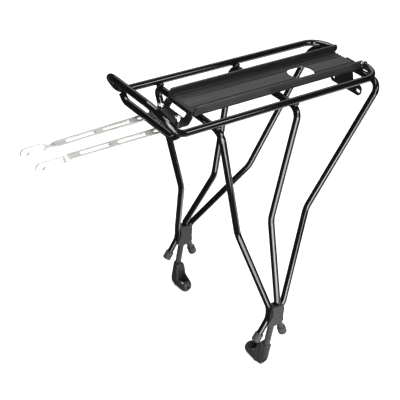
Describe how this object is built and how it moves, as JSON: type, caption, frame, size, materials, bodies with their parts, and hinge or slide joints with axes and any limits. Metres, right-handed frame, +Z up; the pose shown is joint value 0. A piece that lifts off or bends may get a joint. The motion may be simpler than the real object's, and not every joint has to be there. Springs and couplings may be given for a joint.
{
  "type": "bicycle rear rack",
  "caption": "Tubular bicycle rear rack: raised front hoop, grooved deck, bent leg tubes to offset feet, and slotted strap stays at the front.",
  "frame": {"origin": "midpoint between the two dropout bolt holes in the feet", "axes": "+X toward the front of the bicycle, +Y to the bicycle's left, +Z up"},
  "size_m": [0.539, 0.2494, 0.47],
  "materials": {
    "gloss_black_paint": "gloss",
    "satin_black_cast": "satin",
    "satin_black_cast_foot": "satin",
    "satin_black_anodised": "satin",
    "black_steel_sheet": "satin",
    "black_rubber": "matte",
    "silver_strap": "brushed",
    "chrome_fastener": "polished"
  },
  "bodies": {
    "rack": {"rail_tube": "gloss_black_paint", "low_front_bar": "gloss_black_paint", "front_leg_tube": "gloss_black_paint", "middle_leg_tube": "gloss_black_paint", "rear_leg_tube": "gloss_black_paint", "deck_plate": "satin_black_anodised", "front_bracket": "black_steel_sheet", "light_bracket": "black_steel_sheet", "junction_lug_left": "satin_black_cast", "foot_left": "satin_black_cast_foot", "rear_stub_left": "satin_black_cast", "strut_left": "satin_black_cast", "front_stub_cap_left": "black_rubber", "rear_stub_cap_left": "black_rubber", "junction_lug_right": "satin_black_cast", "foot_right": "satin_black_cast_foot", "rear_stub_right": "satin_black_cast", "strut_right": "satin_black_cast", "front_stub_cap_right": "black_rubber", "rear_stub_cap_right": "black_rubber"},
    "clamp_left": {"stay_bolt_left": "chrome_fastener", "stay_washer_left": "chrome_fastener", "stay_nut_left": "chrome_fastener"},
    "stay_body_left": {"stay_left": "silver_strap"},
    "clamp_right": {"stay_bolt_right": "chrome_fastener", "stay_washer_right": "chrome_fastener", "stay_nut_right": "chrome_fastener"},
    "stay_body_right": {"stay_right": "silver_strap"}
  },
  "joints": [
    {"name": "stay_swing_left", "type": "hinge", "parent": "rack", "child": "clamp_left", "pos_m": [0.128, 0.0192, 0.39985], "axis": [0, 0, 1], "range_deg": [-2, 12]},
    {"name": "stay_reach_left", "type": "slide", "parent": "clamp_left", "child": "stay_body_left", "axis": [0.9997, -0.0157, -0.0175], "range_m": [-0.034, 0.0034]},
    {"name": "stay_swing_right", "type": "hinge", "parent": "rack", "child": "clamp_right", "pos_m": [0.128, -0.0192, 0.39985], "axis": [0, 0, -1], "range_deg": [-2, 12]},
    {"name": "stay_reach_right", "type": "slide", "parent": "clamp_right", "child": "stay_body_right", "axis": [0.9997, 0.0157, -0.0175], "range_m": [-0.034, 0.0034]}
  ]
}
